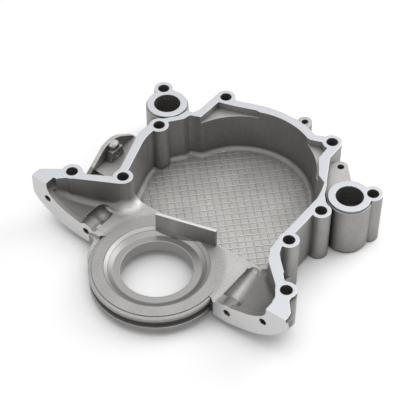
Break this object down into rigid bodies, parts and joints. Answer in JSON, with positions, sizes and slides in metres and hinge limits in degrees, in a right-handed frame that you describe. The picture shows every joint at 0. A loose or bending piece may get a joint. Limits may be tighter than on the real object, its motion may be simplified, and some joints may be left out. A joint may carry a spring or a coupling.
{
  "type": "timing cover",
  "caption": "Cast timing cover with an open chain case, two coolant ports, bolt bosses, a curved pan rail on two feet, a crank seal bore and a pump bracket",
  "frame": {"origin": "on the crank axis, at the inner rim of the crank seal bore", "axes": "+X from the left coolant port to the right one, +Y from the crank towards the top of the engine, +Z out of the machined engine face along the crank axis"},
  "size_m": [0.2855, 0.2824, 0.0545],
  "materials": {
    "cast_aluminium": "cast, with satin machined faces"
  },
  "bodies": {
    "root": {"timing_cover": "cast_aluminium"}
  },
  "joints": []
}
